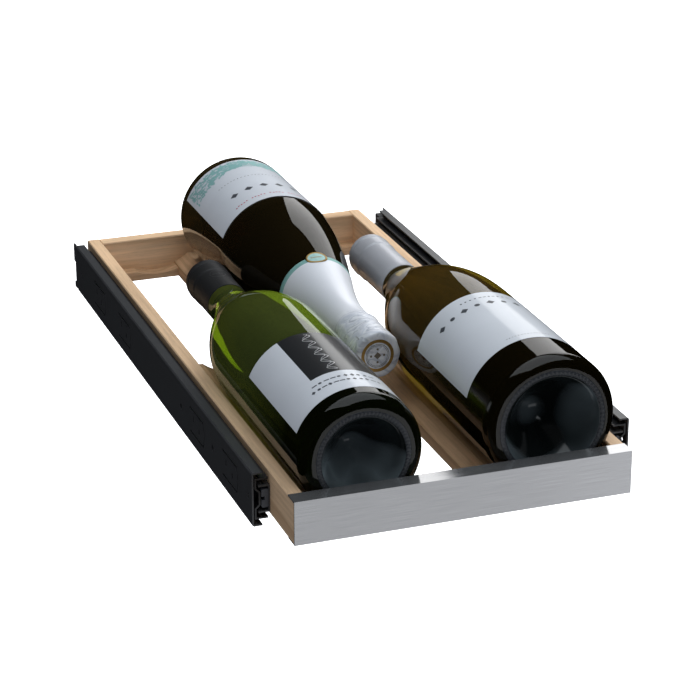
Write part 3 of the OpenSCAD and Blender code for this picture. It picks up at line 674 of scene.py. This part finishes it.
def dress_left_label(bottle):
    white = paper("label_paper", (0.72, 0.75, 0.80))
    black = paper("black_label_paper", (0.022, 0.023, 0.025), 0.4)
    foot, side = ((16.5, 44.5), (-68, 68)), ((44.5, 111), (-68, -27.5))
    label_sheet("left_label_sheet", bottle, [foot, side], white, "left_bottle_label")
    label_sheet("left_label_panel_sheet", bottle, [((44.6, 111), (-27.4, 68))], black,
                "left_bottle_label_panel")
    dark = ink("dark_ink", (0.06, 0.065, 0.075))
    rows = pips(-20, 21, 36.0, 4.4, 4.2, 5) + pips(-23, 24, 29.6, 4.4, 4.2, 8)
    marks("left_label_print", bottle, rows, dark)
    lines = []
    for reach, phase, width in ((3.4, 0.0, 0.6), (2.2, 1.3, 0.4)):
        wave = [(-2.0 + reach * math.sin(k * 0.34 + phase), 108 - k * 0.64) for k in range(95)]
        lines += stroke(wave, width)
    marks("left_label_flourish", bottle, lines, ink("silver_ink", (0.70, 0.71, 0.72), 0.6, 0.3))
    return white, dark


def dress_right_label(bottle, white, dark):
    """A row of beads between two rows of small marks. The crest is left out."""
    label_sheet("right_label_sheet", bottle, [((36, 121), (-78, 78))], white,
                "right_bottle_label")
    shapes = pips(-17, 18, 112.3, 2.6, 3.3, 21)
    for k in range(-4, 5):
        u, h = k * 9.4, 102.4
        shapes.append(dot(u, h, 1.9) if k % 2 else lozenge(u, h, 5.8, 5.8))
    shapes += pips(-14, 15, 43.0, 1.5, 2.0, 33)
    marks("right_label_print", bottle, shapes, dark)


def dress_sparkling_label(bottle, white, dark):
    label_sheet("sparkling_label_sheet", bottle, [((15, 108), (-68, 68))], white,
                "sparkling_bottle_label")
    rng = random.Random(17)
    leaves = []
    for _ in range(420):
        u = rng.uniform(-49, 49)
        top = 25 + 17 * min(1.0, (abs(u) + 8) / 50) ** 0.8
        leaves.append(leaf(u, rng.uniform(18.5, top), rng.uniform(3.2, 7.2), rng.uniform(1.0, 2.1),
                           rng.uniform(0, 180)))
    for _ in range(9):
        u = rng.uniform(-46, 46)
        curl = arc(u, 26, rng.uniform(4, 7), rng.uniform(5, 9), rng.uniform(0, 180),
                   rng.uniform(200, 320))
        leaves += stroke(curl, 0.5)
    marks("sparkling_label_leaves", bottle, leaves, ink("teal_ink", (0.22, 0.42, 0.41)))
    shapes = pips(-29, 30, 53.8, 1.7, 2.7, 41)
    shapes += [lozenge(u, 79, 7, 7) for u in range(-24, 25, 12)]
    marks("sparkling_label_print", bottle, shapes, dark)
    dots = [arc(u, 98.6 + 0.5 * math.sin(u), 0.75, 0.85, 0, 360, 0, 8)[:-1] for u in
            (k * 2.35 - 29.4 for k in range(26) if k % 6 != 5)]
    marks("sparkling_label_dots", bottle, dots, ink("red_ink", (0.42, 0.05, 0.09)))


FOIL_EDGE, FOIL_STEPS = 0.617, 40           # where the foil starts on the shoulder, and its steps there


def foil_skin(bottle, tip, gap):
    """The foil's outline, a gap off the glass, from its edge on the shoulder to the tip."""
    start, end = bottle.shoulder
    points = []
    for i in range(FOIL_STEPS + 1):
        share = FOIL_EDGE + (1 - FOIL_EDGE) * i / FOIL_STEPS
        points.append((bottle.shoulder_r(share) + gap, start + (end - start) * share))
    round_lip = ((0.1, -8), (0.9, -6), (1.5, -4.5), (1.8, -2.5), (1.9, -1), (1.6, 1), (1.4, 3),
                 (1.35, 20))
    round_end = ((1.3, -2.4), (0.9, -1.2), (0.1, -0.4))
    for level, steps in ((bottle.finish, round_lip), (tip, round_end)):
        points += [(bottle.neck + out * MM + gap, level + along * MM) for out, along in steps]
    return points + [(bottle.neck - 1.2 * MM, tip - 0.1 * MM), (0, tip - 0.1 * MM)]


def crumple(bottle):
    """Dents round the neck, which fade towards the shoulder and the middle of the end."""
    rng = random.Random(5)
    waves = [(rng.randrange(3, 11), rng.uniform(0, TAU), rng.uniform(150, 420)) for _ in range(9)]

    def crush(r, along, angle):
        on_neck = max(0.0, min(1.0, (along - bottle.finish + 14 * MM) / (10 * MM)))
        hold = on_neck * min(1.0, r / bottle.neck) ** 3
        dent = sum(math.sin(k * angle + p + q * along) for k, p, q in waves) / len(waves)
        return r - 0.8 * MM * hold * (0.5 - 0.9 * dent), along

    return crush


def oval_rings(name, bottle, middle, steps, mat):
    """Rings of the oval badge, as (share of its full size, height above the glass in mm)."""
    verts, faces, around = [], [], 72
    for share, rise in steps:
        for u, h in arc(0, middle, 7.9 * share, 5.9 * share, steps=around)[:-1]:
            r = bottle.radius(h * MM)
            verts.append(bottle.at(r + rise * MM, h * MM, u * MM / r))
    for i in range(len(steps) - 1):
        low, high = i * around, (i + 1) * around
        for k in range(around):
            j = (k + 1) % around
            faces.append([low + k, low + j, high + j, high + k])
    return mesh_piece(name, verts, faces, bottle.name, [mat])


def dress_badge(bottle, gold):
    """Oval badge across the foil's lower edge, with a raised rim."""
    start, end = bottle.shoulder
    middle = (start + (end - start) * FOIL_EDGE) / MM + 1
    teal = ink("pale_teal_print", (0.36, 0.58, 0.56), 0.0, 0.3)
    rim_steps = [(1.0, 0.45), (1.0, 0.72), (0.97, 0.9), (0.9, 0.98), (0.82, 0.9), (0.79, 0.7)]
    rim = oval_rings("badge_rim", bottle, middle, rim_steps, gold)
    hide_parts("sparkling_bottle_badge")
    oval_rings("badge_field", bottle, middle, [(0.80, 0.74), (0.5, 0.8), (0.01, 0.82)], teal)
    marks("badge_print", bottle, pips(-3.6, 3.9, middle, 2.2, 1.7, 9), gold, 0.05 * MM,
          lambda h: bottle.radius(h) + 0.82 * MM)


def end_rings(name, bottle, along, rings, mat):
    """Flat rings across the bottle's axis, as (inner, outer) radius in mm."""
    verts, faces, around = [], [], 96
    for inside, outside in rings:
        start = len(verts)
        for k in range(around):
            a = TAU * k / around
            verts += [bottle.at(inside * MM, along, a), bottle.at(outside * MM, along, a)]
        for k in range(around):
            j = (k + 1) % around
            faces.append([start + 2 * k, start + 2 * k + 1, start + 2 * j + 1, start + 2 * j])
    return mesh_piece(name, verts, faces, bottle.name, [mat], smooth=False)


def dress_foil_end(bottle, along, gold):
    """Printed rings round a lozenge and four dots, on the end of the foil."""
    grey = ink("grey_print", (0.09, 0.08, 0.07))
    brown = ink("brown_print", (0.16, 0.13, 0.10))
    end_rings("cap_gold_ring", bottle, along, [(9.3, 11.5)], gold)
    end_rings("cap_thin_rings", bottle, along, [(7.9, 8.25), (7.1, 7.35)], grey)
    dots = [dot(x, z, 0.8) for x, z in ((-4.6, 0), (4.6, 0), (0, -4.6), (0, 4.6))]
    verts, faces = [], []
    for shape in [lozenge(0, 0, 5.2, 5.2), *dots]:
        start = len(verts)
        for x, z in shape:
            verts.append((bottle.x + x * MM, bottle.base_y - along, bottle.z + z * MM))
        faces.append(list(range(start, len(verts))))
    mesh_piece("cap_mark", verts, faces, bottle.name, [brown], smooth=False)


def dress_foil(bottle):
    """Foil, badge and printed end of the sparkling bottle."""
    low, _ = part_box("sparkling_bottle_foil")
    tip = bottle.base_y - low.y
    lift, sheet = 0.47 * MM, 0.35 * MM
    outer = foil_skin(bottle, tip, lift)
    inner = [(r - sheet, h) for r, h in outer[:FOIL_STEPS + 1]]
    pearl = creased_foil("pearl_foil", (0.86, 0.88, 0.93), (0.26, 0.50, 0.47),
                         bottle.base_y - outer[0][1], bottle.base_y - (bottle.finish - 12 * MM))
    foil = lathe("sparkling_foil_skin", bottle, inner[::-1] + outer, [pearl], 192, crumple(bottle))
    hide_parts("sparkling_bottle_foil")
    gold = ink("gold_print", (0.42, 0.27, 0.09), 0.9, 0.32)
    dress_badge(bottle, gold)
    dress_foil_end(bottle, tip - 0.06 * MM, gold)


def dress_capsule_mark(bottle, mat):
    """Faint raised oval round a row of small marks, on top of the black capsule."""
    at = bottle.finish / MM - 9
    shapes = stroke(arc(0, at, 5.5, 6.5), 0.7) + pips(-3.2, 3.6, at, 3.0, 2.2, 4)
    marks("capsule_mark", bottle, shapes, mat, 0.06 * MM, lambda h: bottle.neck + 0.35 * MM)


# ---------------------------------------------------------------- CAD nodes

def assign(mat, *names):
    for name in names:
        slots = nodes[name].data.materials
        slots.clear()
        slots.append(mat)


def dress_frame():
    light, dark = (0.82, 0.565, 0.35), (0.66, 0.425, 0.245)
    slat_light, slat_dark = (0.68, 0.43, 0.245), (0.50, 0.295, 0.155)
    rail_y = wood("beech_along_y", "Y", light, dark)
    rail_x = wood("beech_along_x", "X", light, dark, 6)
    slat_y = wood("beech_slat_along_y", "Y", slat_light, slat_dark, 3)
    slat_x = wood("beech_batten_along_x", "X", slat_light, slat_dark, 9)
    assign(rail_y, "left_side_rail", "right_side_rail")
    assign(rail_x, "front_rail", "rear_rail")
    assign(slat_y, "left_slat", "right_slat", "left_side_board", "right_side_board")
    assign(slat_x, "front_batten", "rear_batten")
    assign(wood("beech_dowel", "X", (0.80, 0.62, 0.42), (0.66, 0.48, 0.30), 4),
           "corner_dowels", "board_dowels")
    assign(brushed("brushed_steel_trim", (0.69, 0.69, 0.70), "X"), "front_trim")
    assign(plated("zinc_plate", (0.55, 0.55, 0.53), 0.35, 1.0),
           "slat_screws", "batten_screws", "trim_screws", "left_slide_screws", "right_slide_screws")


def dress_slides():
    black = plated("black_plated_steel", (0.056, 0.057, 0.060), 0.30, 0.0)
    # the middle member is the same steel, painted darker as shade inside the slide
    inner = plated("plated_steel_painted_shade", (0.020, 0.020, 0.022), 0.30, 0.0)
    stop = plastic("blue_grey_moulding", (0.085, 0.094, 0.112), 0.42)
    strip = plated("dark_cage_strip", (0.12, 0.12, 0.125), 0.35, 1.0)
    ball = plated("ball_steel", (0.75, 0.75, 0.77), 0.16, 1.0)
    moulded = plastic("black_moulding", (0.030, 0.031, 0.034), 0.5)
    for side in ("left", "right"):
        assign(black, side + "_cabinet_member", side + "_shelf_member")
        assign(inner, side + "_intermediate_member")
        assign(strip, side + "_outer_cage", side + "_inner_cage")
        assign(ball, side + "_outer_balls", side + "_inner_balls")
        assign(moulded, side + "_rear_bumper", side + "_release_lever")
        assign(stop, side + "_front_stop")
    assign(moulded, "right_packing_strip")


def dress_bottles(left, right, middle):
    white, dark = dress_left_label(left)
    dress_right_label(right, white, dark)
    dress_sparkling_label(middle, white, dark)
    dress_foil(middle)
    dress_capsule_mark(left, foil_metal("raised_black_foil", (0.05, 0.05, 0.052), 0.34, 0.4))
    assign(wood("cork_body", "Y", (0.55, 0.38, 0.22), (0.40, 0.26, 0.14), 2),
           "left_bottle_cork", "right_bottle_cork", "sparkling_bottle_cork")
    assign(foil_metal("black_capsule_foil", (0.022, 0.022, 0.023), 0.5, 0.1), "left_bottle_capsule")
    assign(foil_metal("silver_capsule_foil", (0.60, 0.61, 0.65), 0.34, 0.3, 0.12),
           "right_bottle_capsule")
    assign(foil_metal("gilt_plate", (0.50, 0.34, 0.12), 0.3, 1.0, 0.1), "sparkling_bottle_cap_plate")
    assign(plated("bright_wire", (0.6, 0.6, 0.6), 0.3, 1.0), "sparkling_bottle_wire_cage")


make_camera()
make_stage()
bottles = make_bottles()
dress_frame()
dress_slides()
dress_bottles(*bottles)
